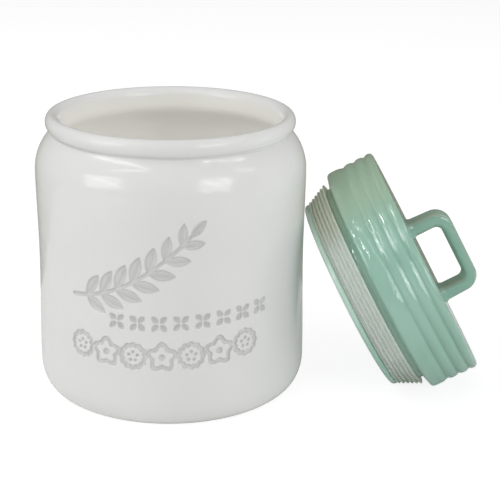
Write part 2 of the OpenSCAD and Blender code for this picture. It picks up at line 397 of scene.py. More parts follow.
def seal_outline(seal, lid):
    """The seal's closed outline: sharp fins whose radius grows evenly towards the cap, from one that lies
    on the flange to one level with the ring's top, and a straight back that lies in the groove."""
    clear = 0.05 * MM
    top, low = -lid.neck_gap - clear, -lid.neck_gap - seal.width + clear
    inside = lid.neck_r - lid.groove_depth + clear
    pitch = (top - low - seal.fin_tip) / (seal.fins - 1)
    points = [[inside, low]]
    for i in range(seal.fins):
        radius = seal.small_r + (seal.large_r - seal.small_r) * i / (seal.fins - 1)
        edge = low + pitch * i
        if i:
            points += [[radius - seal.fin_depth, edge - share * pitch] for share in (0.6, 0.45)]
        points += [[radius, edge], [radius, edge + seal.fin_tip]]
    points += [[inside, top], [inside, low]]
    return np.array(points)


# ---------------------------------------------------------------- surfaces


def surface(name, points, masks=None, ring=False):
    """Mesh over a grid of points (rows, columns, 3) whose columns go round. With ring the rows go round
    too. Otherwise the first and the last row each are one point, and close the surface as a pole. masks
    are values per point, stored as attributes of those names."""
    rows, columns = points.shape[:2]
    index = np.arange(rows * columns).reshape(rows, columns)
    keep = np.ones((rows, columns), bool)
    if not ring:
        keep[0, 1:] = keep[-1, 1:] = False
        index = (np.cumsum(keep.ravel()) - 1).reshape(rows, columns)
        index[0], index[-1] = index[0, 0], index[-1, 0]
    above = np.roll(index, -1, axis=0) if ring else index[1:]
    below = index if ring else index[:-1]
    quads = np.stack([below, np.roll(below, -1, 1), np.roll(above, -1, 1), above], -1)
    if ring:
        faces = quads.reshape(-1, 4).tolist()
    else:
        first, last = quads[0][:, [0, 2, 3]], quads[-1][:, [0, 1, 2]]
        faces = first.tolist() + quads[1:-1].reshape(-1, 4).tolist() + last.tolist()
    kept = points[keep]
    mesh = bpy.data.meshes.new(name)
    mesh.from_pydata(kept.tolist(), [], faces)
    mesh.polygons.foreach_set("use_smooth", np.ones(len(faces), bool))
    for mask, values in (masks or {}).items():
        layer = mesh.attributes.new(mask, "FLOAT", "POINT")
        layer.data.foreach_set("value", np.broadcast_to(values, keep.shape)[keep].astype(np.float32))
    mesh.validate()
    mesh.update()
    if signed_volume(mesh) <= 0:
        raise RuntimeError(f"{name} is inside out")
    piece = bpy.data.objects.new(name, mesh)
    bpy.context.scene.collection.objects.link(piece)
    return piece


def calm_normals(piece, skin, share):
    """Turns the shading normals that face outwards part of the way to those of a smooth skin, because
    light that has scattered inside a milky body leaves it as if from such a skin."""
    mesh = piece.data
    own = np.empty(len(mesh.vertices) * 3, np.float32)
    mesh.vertex_normals.foreach_get("vector", own)
    own = own.reshape(-1, 3)
    weight = share * np.clip(2 * np.sum(own * skin, 1), 0, 1)[:, None]
    mesh.normals_split_custom_set_from_vertices((own + weight * (skin - own)).tolist())


def signed_volume(mesh):
    """A sixth of the sum of a . (b x c) over the triangles: above nought if the faces point outwards."""
    mesh.calc_loop_triangles()
    corners = np.empty(len(mesh.loop_triangles) * 3, np.int32)
    mesh.loop_triangles.foreach_get("vertices", corners)
    points = np.empty(len(mesh.vertices) * 3)
    mesh.vertices.foreach_get("co", points)
    a, b, c = points.reshape(-1, 3)[corners].reshape(-1, 3, 3).transpose(1, 0, 2)
    return np.sum(a * np.cross(b, c)) / 6


def wander(turn, up, seed):
    """A smooth field from about 0 to 1 over an angle and a height, which is how a cast wall strays from
    true: the sum of five waves round the piece, whose phases are seeded and whose swing falls off as the
    root of their number of periods."""
    dice = np.random.default_rng(seed)
    total, span = 0, 5.2  # the sum seldom leaves half the span either way
    for waves in (1, 2, 3, 5, 7):
        phase, climb = dice.uniform(0, 2 * np.pi), dice.uniform(-60, 60)
        total = total + np.sin(waves * turn + climb * up + phase) / math.sqrt(waves)
    return 0.5 + total / span


def all_round(columns):
    """Evenly spaced angles round a piece."""
    return np.linspace(0, math.tau, columns + 1)[:-1]


def revolve(rows, turns):
    """An outline turned about Z: the radius, height and angle of each point, as grids of rows and turns."""
    return np.broadcast_arrays(rows[:, :1], rows[:, 1:], turns)


def stand_up(radius, height, turn):
    """Points from cylinder coordinates about Z. At angle 0 a point lies towards -Y."""
    return np.stack([radius * np.sin(turn), -radius * np.cos(turn), height], -1)


# ---------------------------------------------------------------- the ornament on the jar's front

# Each motif gives a depth from 0 to 1 over the places across and up the panel, which eases in over the
# soft edge's width inside the motif's outline.

PANEL_LEFT, PANEL_RIGHT = -76 * MM, 68 * MM
PANEL_LOW, PANEL_HIGH = 37 * MM, 144 * MM


def leaf(across, up, foot, heading, long, wide, edge):
    """A leaf: half its width falls off from the middle as a parabola, and a midrib stays raised."""
    c, s = math.cos(heading), math.sin(heading)
    x, y = across - foot[0], up - foot[1]
    along, aside = x * c + y * s, np.abs(y * c - x * s)
    share = 2 * along / long - 1
    blade = wide / 2 * (1 - share**2) - aside
    rib = np.clip(1 - aside / (0.2 * wide), 0, 1) * np.clip(1.1 - np.abs(share), 0, 1)
    return ease(blade, edge) * (1 - 0.7 * rib)


def stroke(across, up, path, width, edge):
    """A line along a path of points: its half width less the distance to the nearest stretch."""
    nearest = np.full(across.shape, np.inf)
    for a, b in zip(path[:-1], path[1:]):
        step = b - a
        share = ((across - a[0]) * step[0] + (up - a[1]) * step[1]) / (step @ step)
        share = np.clip(share, 0, 1)
        gap = np.hypot(across - a[0] - share * step[0], up - a[1] - share * step[1])
        nearest = np.minimum(nearest, gap)
    return ease(width / 2 - nearest, edge)


def lobed_line(across, up, middle, radius, lobes, swing, lean, panel):
    """A closed wavy line round a middle: its radius swings as the cosine of lobes times the angle."""
    x, y = across - middle[0], up - middle[1]
    wave = radius * (1 + swing * np.cos(lobes * (np.arctan2(y, x) - lean)))
    return ease(panel.biscuit_w / 2 - np.abs(np.hypot(x, y) - wave), panel.edge)


def dot(across, up, middle, radius, edge):
    """A round dent."""
    return ease(radius - np.hypot(across - middle[0], up - middle[1]), edge)


def sprig(across, up, panel):
    """A leafy sprig: a stem on a quadratic curve, pairs of leaves that are longest near its middle and
    lean further forward towards its tip, and a last leaf in line with it."""
    start, bend, end = (np.array(p) * MM for p in ((-69, 84), (-28, 87), (11, 128)))

    def stem(at):
        """The point at a share of the curve's way."""
        return (1 - at) ** 2 * start + 2 * at * (1 - at) * bend + at**2 * end

    def sized_leaf(foot, heading, size):
        """A leaf of that share of the largest one's size."""
        return leaf(across, up, foot, heading, panel.leaf_l * size, panel.leaf_w * size, panel.edge)

    depth = stroke(across, up, stem(np.linspace(0, 1, 25)[:, None]), panel.stem_w, panel.edge)
    for i in range(panel.leaf_pairs):
        at = 0.13 + 0.8 * i / (panel.leaf_pairs - 1)
        ahead = 2 * (1 - at) * (bend - start) + 2 * at * (end - bend)
        heading = math.atan2(ahead[1], ahead[0])
        size = 0.74 + 0.26 * math.sin(math.pi * (0.2 + 0.75 * at))
        for side in (1, -1):
            turned = heading + side * math.radians(46 - 8 * at)
            depth = np.maximum(depth, sized_leaf(stem(at), turned, size))
    return np.maximum(depth, sized_leaf(end, math.atan2(*(end - bend)[::-1]), 0.8))


def flower_row(across, up, panel):
    """A row of small four-petalled flowers on a gently rising line."""
    depth = 0
    long, wide, edge = panel.flower_r, panel.flower_r * 0.66, panel.edge * 0.8
    for i in range(panel.flowers):
        share = i / (panel.flowers - 1)
        middle = np.array([-36 + 96 * share, 71 + 3 * share + 6 * (share - 0.35) ** 2]) * MM
        for quarter in range(4):
            heading = math.radians(45 + 90 * quarter)
            foot = middle + 0.6 * MM * np.array([math.cos(heading), math.sin(heading)])
            depth = np.maximum(depth, leaf(across, up, foot, heading, long, wide, edge))
    return depth


def biscuit_row(across, up, panel):
    """A row of biscuits on a hanging curve: round ones with a crimped edge and five holes, and between
    them five-lobed ones with one large hole."""
    depth = 0
    crimped, lobed = (12, 0.06, 0), (5, 0.17, math.pi / 2)
    around = [math.tau * hole / 5 for hole in range(5)]
    for i in range(panel.biscuits):
        share = 2 * i / (panel.biscuits - 1) - 1
        middle = np.array([-7 + 55 * share, 49.5 + 3.4 * share**2 + 1.6 * share]) * MM
        line = lobed_line(across, up, middle, panel.biscuit_r, *(lobed if i % 2 else crimped), panel)
        if i % 2:
            holes = [dot(across, up, middle, 2.3 * MM, panel.edge)]
        else:
            spots = [middle + 2.9 * MM * np.array([math.sin(turn), math.cos(turn)]) for turn in around]
            holes = [dot(across, up, spot, 1.3 * MM, panel.edge) for spot in spots]
        for shape in (line, *holes):
            depth = np.maximum(depth, shape)
    return depth


def panel_turns(radius):
    """Angles round the jar: close together over the ornament, and wider apart round the back."""
    fine, wide = 0.58 * MM / radius, math.radians(3.4)
    front = np.arange(PANEL_LEFT / radius, PANEL_RIGHT / radius, fine)
    back = np.linspace(front[-1] + fine, front[0] + math.tau, int((math.tau - np.ptp(front)) / wide))
    return np.concatenate([front, back[:-1]])


# ---------------------------------------------------------------- shader sheets


class Field:
    """A shader value that takes Python's arithmetic. Each operator adds one Math node."""

    def __init__(self, sheet, socket):
        self.sheet, self.socket = sheet, socket

    def math(self, operation, *values):
        """Adds a Math node of that operation over the given values, in order."""
        node = self.sheet.add("ShaderNodeMath", {"operation": operation}, dict(enumerate(values)))
        return Field(self.sheet, node.outputs[0])

    def __add__(self, other):
        return self.math("ADD", self, other)

    def __sub__(self, other):
        return self.math("SUBTRACT", self, other)

    def __rsub__(self, other):
        return self.math("SUBTRACT", other, self)

    def __mul__(self, other):
        return self.math("MULTIPLY", self, other)

    __radd__ = __add__
    __rmul__ = __mul__

    def held(self):
        """The value kept between 0 and 1."""
        return self.math("MAXIMUM", self.math("MINIMUM", self, 1.0), 0.0)

    def ramp(self, low, high):
        """0 under low, 1 over high, and a smooth step between."""
        node = self.sheet.add(
            "ShaderNodeMapRange",
            {"interpolation_type": "SMOOTHSTEP"},
            {"Value": self, "From Min": low, "From Max": high},
        )
        return Field(self.sheet, node.outputs["Result"])


class Sheet:
    """The node tree of a material or of the world."""

    def __init__(self, owner, output="ShaderNodeOutputMaterial"):
        owner.use_nodes = True
        self.owner = owner
        self.nodes, self.links = owner.node_tree.nodes, owner.node_tree.links
        self.nodes.clear()
        self.output = self.nodes.new(output)

    @classmethod
    def of_material(cls, name):
        """The sheet of a new material."""
        return cls(bpy.data.materials.new(name))

    def add(self, kind, settings=None, sockets=None):
        """Adds a node of that kind: its settings first, then each socket's value or link."""
        node = self.nodes.new(kind)
        for key, value in (settings or {}).items():
            setattr(node, key, value)
        for key, value in (sockets or {}).items():
            self.feed(node.inputs[key], value)
        return node

    def feed(self, socket, value):
        """Sets a socket to a number or colour, or links it to a field or another node's socket."""
        if isinstance(value, Field):
            value = value.socket
        if isinstance(value, bpy.types.NodeSocket):
            self.links.new(value, socket)
        elif hasattr(value, "__len__") and len(value) == 3 and socket.type == "RGBA":
            socket.default_value = (*value, 1)
        else:
            socket.default_value = value

    def mask(self, name):
        """A value stored on the piece's points."""
        node = self.add("ShaderNodeAttribute", {"attribute_name": name})
        return Field(self, node.outputs["Fac"])

    def noise(self, scale, detail=2.0, stretch=(1, 1, 1)):
        """Cloudy noise from 0 to 1 over the piece, scale being waves per metre. A stretch below 1 draws
        the clouds out along that axis."""
        place = self.add("ShaderNodeTexCoord").outputs["Object"]
        place = self.add("ShaderNodeMapping", {}, {"Vector": place, "Scale": stretch}).outputs[0]
        node = self.add("ShaderNodeTexNoise", {}, {"Vector": place, "Scale": scale, "Detail": detail})
        return Field(self, node.outputs["Fac"])

    def mix(self, share, low, high):
        """Colour between two colours, which are a Mix node's sockets 6 and 7 and its output 2."""
        node = self.add("ShaderNodeMix", {"data_type": "RGBA"}, {0: share, 6: low, 7: high})
        return node.outputs[2]

    def bump(self, height, distance, normal=None):
        """Normal from a height field, distance being the height of 1 in metres."""
        node = self.add("ShaderNodeBump", {}, {"Height": height, "Distance": distance})
        if normal is not None:
            self.feed(node.inputs["Normal"], normal)
        return node.outputs[0]

    def end(self, kind, sockets):
        """Ends the sheet in a shader of that kind, and gives back the material or the world."""
        shader = self.add(kind, {}, sockets)
        self.links.new(shader.outputs[0], self.output.inputs["Surface"])
        return self.owner

    def finish(self, **sockets):
        """Ends the sheet in a Principled shader with those sockets, spaces in names being underscores."""
        return self.end(
            "ShaderNodeBsdfPrincipled", {key.replace("_", " "): value for key, value in sockets.items()}
        )


def white_glaze(finishes):
    """Glossy white glaze: faint clouds, a greyer tone where it pools in the ornament and in hollows, which
    is also painted shade there and darkest along the foot of each pressed edge, a slightly warmer tint
    inside that is painted light bounced between the inner walls, and bare wiped clay on the ring that the
    jar stands on. Ripples that lie round the jar, a slow waviness and a fine orange peel break up its
    gloss."""
    sheet = Sheet.of_material("white_glaze")
    clouds = sheet.noise(16, 3.0).ramp(0.3, 0.7)
    pressed = sheet.mask("pressed")
    # Painted shade along the foot of each pressed edge. Greyer glaze pools in the ornament and the hollows,
    # which is also painted shade.
    corner = (pressed * (1 - pressed) * 4).held() * (0.7 + 0.6 * sheet.noise(140))
    pooled = (pressed * 0.34 + corner * 0.5 + sheet.mask("hollow") * 0.3 + clouds * 0.06).held()
    bare = (sheet.mask("bare") + (sheet.noise(220) - 0.5) * 0.5).ramp(0.35, 0.65)
    # Painted warm light bounced inside the jar.
    white = sheet.mix(sheet.mask("inside"), finishes.white, finishes.white_inside_bounce)
    glaze = sheet.mix(pooled, white, finishes.white_pool_and_shade)
    normal = sheet.bump(sheet.noise(30, 1.0), 0.4 * MM)
    normal = sheet.bump(sheet.noise(150, 2.0, (0.22, 0.22, 1)), 0.13 * MM, normal)
    normal = sheet.bump(sheet.noise(420), 0.035 * MM, normal)
    return sheet.finish(
        Base_Color=sheet.mix(bare, glaze, finishes.clay),
        Roughness=(0.09 + 0.06 * sheet.noise(60)) * (1 - bare) + bare * 0.75,
        IOR=1.45,
        Normal=normal,
    )


def green_glaze(finishes):
    """Glossy green glaze that runs off edges, where it thins to a greyish green, and pools deeper green in
    hollows; the deeper green is also painted shade in the valleys and recesses, under the strap's bar and
    towards the lid's lower side, and the greyish green is also a painted olive reflection on faces that
    face up. A painted olive reflection warms the upper side. It is paler where the coat is thin, on the
    flange with a painted highlight, and on the neck under the cap as painted light. Faint streaks and
    clouds vary its depth, and fine ripples break up its gloss."""
    sheet = Sheet.of_material("green_glaze")
    clouds = sheet.noise(22, 3.0).ramp(0.25, 0.75)
    streaks = sheet.noise(90, 2.0, (0.35, 1, 1))
    # Painted olive reflection on the upper side.
    warm = (sheet.mask("warm") * (0.7 + 0.6 * clouds)).held()
    # Deeper where the glaze pools, and painted shade in the valleys, recesses, under the bar and on the
    # lower side.
    pooled = (sheet.mask("hollow") * 0.4 + (clouds - 0.5) * 0.2 + (streaks - 0.5) * 0.14 + 0.1).held()
    # Greyish green where the glaze breaks on edges, and a painted olive reflection on faces that face up.
    thin = (sheet.mask("edge") * (0.7 + 0.6 * sheet.noise(160))).held()
    glaze = sheet.mix(warm, sheet.mix(pooled, finishes.mint, finishes.mint_pool_and_shade), finishes.mint_upper_reflection)
    # Paler thin coat with a painted highlight on the flange, and painted light on the neck under the cap.
    glaze = sheet.mix(sheet.mask("pale") * (0.7 + 0.3 * clouds), glaze, finishes.mint_thin_and_lit)
    normal = sheet.bump(sheet.noise(45, 1.0), 0.3 * MM)
    normal = sheet.bump(sheet.noise(420, 1.0, (1, 1, 0.3)), 0.17 * MM, normal)
    return sheet.finish(
        Base_Color=sheet.mix(thin, glaze, finishes.mint_thin_and_reflection),
        Roughness=0.05 + 0.05 * sheet.noise(70),
        IOR=1.7,
        Normal=normal,
    )


def milky_silicone(finishes):
    """Milky silicone with a satin, slightly grained skin. The gaps between the fins are painted paler than
    their tips, painted light that lifts the shade falling into them. Painted shade deepens it where the
    lying ring turns up or down and along its edge by the flange, and a painted olive reflection warms it on
    the upper side."""
    sheet = Sheet.of_material("milky_silicone")
    clouds = sheet.noise(30)
    # Painted shade at the fin tips, against the painted light in the gaps, and where the ring turns up or
    # down or meets the flange.
    deep = sheet.mask("tip") * 0.5 + sheet.mask("ends") * 0.5
    shade = (1.0 - deep + (clouds - 0.5) * 0.15).held()
    milky = sheet.mix(shade, finishes.silicone_shaded, finishes.silicone)
    return sheet.finish(
        Base_Color=sheet.mix(sheet.mask("warm"), milky, finishes.silicone_upper_reflection),
        Roughness=0.55 + 0.1 * sheet.noise(120),
        IOR=1.42,
        Subsurface_Weight=1.0,
        Subsurface_Radius=(1.0, 1.0, 0.9),
        Subsurface_Scale=0.01,
        Normal=sheet.bump(sheet.noise(900), 0.01 * MM),
    )


# ---------------------------------------------------------------- the pieces


def edge_mask(bend, start, full):
    """0 to 1 as the outline's convexity passes from start to full, both per metre."""
    return ease(bend - start, full - start)


def make_jar(settings):
    """Turns the softened outline, then moves the wall inwards by the ornament's depth and by the cast
    wall's slow wander, which fades out at the foot so that the jar stands level. Glaze fills the groove
    outside and the neck inside more than other corners: there the line goes over to a softer one, by a
    bell curve of the way along it from the rim's top."""
    jar, panel = settings.jar, settings.panel
    outline = jar_outline(jar)
    line = soften(outline, 0.7 * MM)
    run = (np.arange(len(line)) - np.argmax(line[:, 1])) * STEP
    # The middle of each along the line, its spread, and how far its softer corners reach.
    groove, neck = (-15.5 * MM, 6 * MM, 1.3 * MM), (18.6 * MM, 6.5 * MM, 3.2 * MM)
    for middle, spread, reach in (groove, neck):
        share = np.exp(-(((run - middle) / spread) ** 2))[:, None]
        line = line + share * (soften(outline, reach) - line)
    bend = convexity(line)
    outside = np.arange(len(line)) < np.argmax(line[:, 1])
    on_panel = outside & (line[:, 1] > PANEL_LOW) & (line[:, 1] < PANEL_HIGH)
    widest = 5 * MM
    cap = np.where(on_panel, 0.7 * MM, widest)
    rows, bend = pick_rows(line, bend, math.radians(7), finest=0.5 * MM, coarsest=widest, cap=cap)
    outside = (np.arange(len(rows)) < np.argmax(rows[:, 1]))[:, None]
    radius, height, turn = revolve(rows, panel_turns(jar.body_r))
    across = (np.mod(turn + np.pi, math.tau) - np.pi) * jar.body_r
    pressed = np.maximum(sprig(across, height, panel), flower_row(across, height, panel))
    pressed = np.maximum(pressed, biscuit_row(across, height, panel))
    inside_panel = (across > PANEL_LEFT) & (across < PANEL_RIGHT)
    inside_panel &= (height > PANEL_LOW) & (height < PANEL_HIGH) & outside
    pressed = np.where(inside_panel, pressed, 0)
    level = np.clip(height / (30 * MM), 0, 1) * np.clip(radius / (40 * MM), 0, 1)
    radius = radius - panel.depth * pressed - jar.unevenness * level * wander(turn, height, seed=11)
    rim_dip = 0.25 * MM * (height / jar.height) ** 6
    height = height - rim_dip * level**2 * wander(turn, 0 * height, seed=12)
    wiped = outside & (rows[:, 1:] < 1.2 * MM) & (rows[:, :1] > 60 * MM)
    # pressed and hollow grey the glaze where it pools, which is also painted shade; inside is painted warm
    # bounce light.
    masks = {
        "pressed": pressed,
        "hollow": edge_mask(-bend, 60, 400)[:, None],
        "bare": wiped,
        "inside": ease(np.where(outside, 0, jar.height - height), 12 * MM),
    }
    piece = surface("glazed_jar", stand_up(radius, height, turn), masks)
    piece.data.materials.append(white_glaze(settings.finishes))
    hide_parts("jar_body")
    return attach(piece, "jar")


class LidPlace:
    """Where the lying lid is. Its own zero is the plane of the cap's lower edge, and +Z goes through the
    handle. It lies on the edges of the cap and of the flange, so it leans by the angle between those two
    edges, and it stands where the outline's turned box has its far corner on the plain lid's."""

    def __init__(self, settings):
        lid = settings.lid
        outline = lid_outline(lid, settings.seal)
        plug_low = outline[:, 1].min()
        step = np.array(
            [
                (lid.cap_r - lid.low_round) - (lid.flange_r - lid.flange_round),
                lid.low_round - (plug_low + lid.flange_round),
            ]
        )
        lift = math.asin((lid.flange_round - lid.low_round) / np.hypot(*step))
        tilt = math.atan2(step[0], step[1]) - lift
        turn = Matrix.Rotation(lid.turn, 3, "Z") @ Matrix.Rotation(math.pi / 2 - tilt, 3, "Y")
        self.axes = np.array(turn)
        up = self.axes[:, 2]
        reach = np.sqrt(1 - up**2)
        low, high = (np.array(corner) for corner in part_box("lid_cap"))
        far = (outline[:, 1:] * up + outline[:, :1] * reach).max(0)
        near = (outline[:, 1:] * up - outline[:, :1] * reach).min(0)
        self.seat = high - far
        slack = 0.5 * MM
        if np.abs(self.seat + near - low).max() > slack:
            raise RuntimeError("the lid's sizes don't match the packed lid")

    def lay(self, points):
        """Points from the lid's own frame to where the lid lies."""
        return points @ self.axes.T + self.seat


def upper_side_reflection(turn, reach=1):
    """Painted olive reflection, 0 to 1 towards the side that faces up where the lid lies. The reach is 1
    near the edge of a disc and falls to 0 in its middle, which gets none."""
    return ease(-np.sin(turn) * reach - 0.6, 0.36)


def make_lid(settings):
    """Turns the softened outline and moves the cap and its top inwards by a slow wander. The glaze is
    deeper green in the valleys, where it pools and as painted shade, a little in the neck recess and
    towards the side that lies down, both painted shade. It breaks a little on the edges next to the top,
    carries a painted olive reflection on the upper side, and is paler on the flange, a thin coat with a
    painted highlight, and on the neck under the cap, as painted light."""
    lid = settings.lid
    line = soften(lid_outline(lid, settings.seal), 0.45 * MM)
    bend = convexity(line, reach=0.6 * MM)
    rows, bend = pick_rows(line, bend, math.radians(9), finest=0.45 * MM, coarsest=5 * MM)
    radius, height, turn = revolve(rows, all_round(288))
    outer = (np.arange(len(rows)) > np.argmin(rows[:, 1]))[:, None]
    cap = outer * ease(height, 8 * MM) * ease(radius, 30 * MM)
    strays = lid.unevenness * cap
    radius = radius - strays * wander(turn, 2 * height, seed=21)
    height = height - 0.8 * strays * wander(turn, 3 * radius, seed=22)
    top = ease(height - lid.cap_h / 2, lid.cap_h / 3)
    below_neck = -height - lid.neck_gap
    neck = outer * ease(2 * MM - below_neck, 1 * MM)
    under_cap = neck * (height <= 0) * ease(lid.neck_r + 4 * MM - radius, 2 * MM)
    # Painted light on the neck under the cap, away from the upper side.
    neck_painted_light = under_cap * (1 - ease(-np.sin(turn) - 0.5, 0.3))
    flange = outer * ease(below_neck - 8 * MM, 3 * MM)
    # Thin coat on the flange, with a painted highlight towards its upper front.
    flange_thin_and_highlight = flange * (0.1 + 0.9 * ease(0.7 - np.sin(turn + 0.35), 0.9))
    # Glaze pooled in the valleys, also painted shade there and a little in the neck recess.
    valleys = np.where(height > 0, edge_mask(-bend, 60, 500)[:, None], 0.2 * neck)
    # Painted shade towards the side that lies down.
    lower_side_shade = cap * ease(np.sin(turn) + 0.3, 1)
    masks = {
        "hollow": valleys + 0.7 * lower_side_shade,
        "edge": edge_mask(bend, 130, 620)[:, None] * 0.25 * top,
        "warm": upper_side_reflection(turn, ease(radius, 0.85 * lid.cap_r)),
        "pale": flange_thin_and_highlight + 0.45 * neck_painted_light,
    }
    points = LidPlace(settings).lay(stand_up(radius, height, turn))
    piece = surface("ribbed_lid", points, masks)
    piece.data.materials.append(green_glaze(settings.finishes))
    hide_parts("lid_cap")
    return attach(piece, "lid")


def make_seal(settings):
    """Turns the fins' outline, with a slight waver of the tips in and out. Its outward faces are shaded
    nearly as the cone that the tips lie on."""
    seal, lid = settings.seal, settings.lid
    fine = STEP / 2
    line = soften(seal_outline(seal, lid), 0.12 * MM, ring=True, step=fine)
    bend = convexity(line, reach=0.2 * MM, step=fine)
    rows, bend = pick_rows(line, bend, math.radians(22), finest=0.16 * MM, coarsest=3 * MM)
    rows = rows[:-1]
    radius, height, turn = revolve(rows, all_round(360))
    above = height + lid.neck_gap + seal.width
    cone = seal.small_r + (seal.large_r - seal.small_r) * above / seal.width
    tip = ease(radius - cone + seal.fin_depth, seal.fin_depth)
    radius = radius - seal.waver * tip * wander(turn, 40 * height, seed=31)
    # Painted shade in the join by the flange.
    flange_join_shade = ease(1.5 * MM - above, 1.5 * MM)
    # Painted shade where the lying ring turns up or down, away from the light.
    turned_away_shade = ease(np.abs(np.sin(turn + 0.25)) - 0.45, 0.55)
    masks = {
        "tip": tip,
        # Painted olive reflection and shade on the upper side.
        "warm": upper_side_reflection(turn) ** 2,
        "ends": np.maximum(turned_away_shade, 1.25 * flange_join_shade),
    }
    place = LidPlace(settings)
    piece = surface("finned_seal", place.lay(stand_up(radius, height, turn)), masks, ring=True)
    slope = math.atan2(seal.large_r - seal.small_r, seal.width)
    skin = stand_up(math.cos(slope) + 0 * height, -math.sin(slope) + 0 * height, turn)
    calm_normals(piece, skin.reshape(-1, 3) @ place.axes.T, share=0.9)
    piece.data.materials.append(milky_silicone(settings.finishes))
    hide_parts("seal_ring")
    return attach(piece, "lid")


def handle_edges(handle, leg_rows=14, corner_rows=12, bar_rows=12):
    """The strap's outer and inner edge, each as straight leg, corner, bar, corner, straight leg, with as
    many points, so that point i of one faces point i of the other."""

    def edge(foot_x, top_x, top_z, round_r):
        """The left half's points and their mirror image, from a foot sunk into the cap to the other."""
        sink = 0.6 * MM
        leg = np.column_stack(
            [
                np.linspace(-foot_x, -top_x, leg_rows, endpoint=False),
                np.linspace(-sink, top_z - round_r, leg_rows, endpoint=False),
            ]
        )
        corner = arc((round_r - top_x, top_z - round_r), round_r, round_r, 180, 90, corner_rows)
        half_bar = np.linspace(round_r - top_x, 0, bar_rows + 1)[1:]
        bar = np.column_stack([half_bar, np.full(bar_rows, top_z)])
        left = np.vstack([leg, corner, bar])
        return np.vstack([left, left[-2::-1] * [-1, 1]])

    half = handle.long / 2
    outer = edge(half, half - handle.draft, handle.high, handle.outer_round)
    hole = half - handle.leg
    return outer, edge(hole, hole, handle.high - handle.bar, handle.inner_round)


def strap_section(corner_steps=6):
    """A rounded square from -1 to 1 as angles of its corners: signs of each corner and unit offsets."""
    turns = np.radians(np.linspace(0, 90, corner_steps + 1))
    signs, offsets = [], []
    for quarter, (p, q) in enumerate(((1, -1), (-1, -1), (-1, 1), (1, 1))):
        start = -math.pi / 2 * quarter
        signs += [(p, q)] * len(turns)
        offsets += [(math.cos(start - t), math.sin(start - t)) for t in turns]
    return np.array(signs, float), np.array(offsets)


def make_handle(settings):
    """Carries a rounded section along the strap: it spans from the inner to the outer edge and across the
    strap's width, less a slight crown, and spreads towards the cap where the foot was luted on. The glaze
    thins along the strap's edges, and faces that face up carry a painted olive reflection. It pools at the
    feet, the faces under the bar, in the finger hole, are deeper green as painted shade, and the whole
    strap is a little deeper green."""
    handle, lid = settings.handle, settings.lid
    outer, inner = handle_edges(handle)
    middle, half = (outer + inner) / 2, (outer - inner) / 2
    thick = np.hypot(*half.T)
    aside = half / thick[:, None]
    spread = np.clip(1 - middle[:, 1] / handle.flare_h, 0, 1) ** 2 * handle.flare
    signs, offsets = strap_section()
    round_r = np.minimum(handle.edge_round, thick * 0.8)[:, None]
    crown = 0.35 * MM
    p = signs[:, 0] * (thick[:, None] + spread[:, None] - round_r) + offsets[:, 0] * round_r
    q = signs[:, 1] * (handle.width / 2 + spread[:, None] - round_r) + offsets[:, 1] * round_r
    q = q * (1 - crown / (handle.width / 2) * (p / thick[:, None]) ** 2)
    x = handle.shift + middle[:, :1] + aside[:, :1] * p
    z = middle[:, 1:] + aside[:, 1:] * p + lid.cap_h
    body = np.stack([x, q, z], -1)
    ends = [np.broadcast_to(body[i].mean(0), body[i].shape)[None] for i in (0, -1)]
    grid = np.concatenate([ends[0], body, ends[1]])
    corner = np.abs(offsets[:, 0] * offsets[:, 1]) * 2
    facing = aside[:, :, None] * offsets[None, None, :, 0]
    facing = np.concatenate([facing[:1], facing, facing[-1:]])
    # Painted olive reflection on faces that face up.
    upward_reflection = ease(-facing[:, 0] - 0.2, 0.8)
    # Painted shade on the bar's faces under it, in the finger hole.
    under = ease(-facing[:, 1] - 0.2, 0.8) * 1.6
    foot = np.concatenate([[0], spread / handle.flare, [0]])[:, None] * 0.5 + 0.25
    # hollow: glaze pooled at the feet, painted shade under the bar, and a little deeper green over the
    # whole strap.
    masks = {
        "edge": np.clip(corner * 0.45 + 0.75 * upward_reflection, 0, 1),
        "hollow": np.clip(foot + under + 0.5, 0, 1.2),
        "warm": 0 * under,
        "pale": 0 * under,
    }
    piece = surface("strap_handle", LidPlace(settings).lay(grid), masks)
    piece.data.materials.append(green_glaze(settings.finishes))
    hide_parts("lid_handle")
    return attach(piece, "lid")


# ---------------------------------------------------------------- the stage

# How far every lamp stands from the point that it faces, between the jar and the lid.
LAMP_DISTANCE = 1.6
LAMP_AIM = Vector((0.04, 0, 0.1))

# Soft fills that no glaze mirrors: azimuth and elevation in degrees, width and height in metres.
FILLS = {
    "over_fill": (-68, 53, 1.7, 0.5),
    "front_fill": (-8, 28, 1.8, 1.2),
    "top_fill": (0, 88, 2.0, 2.0),
    "left_fill": (-95, 30, 1.6, 1.4),
    "back_fill": (180, 40, 1.8, 1.2),
}

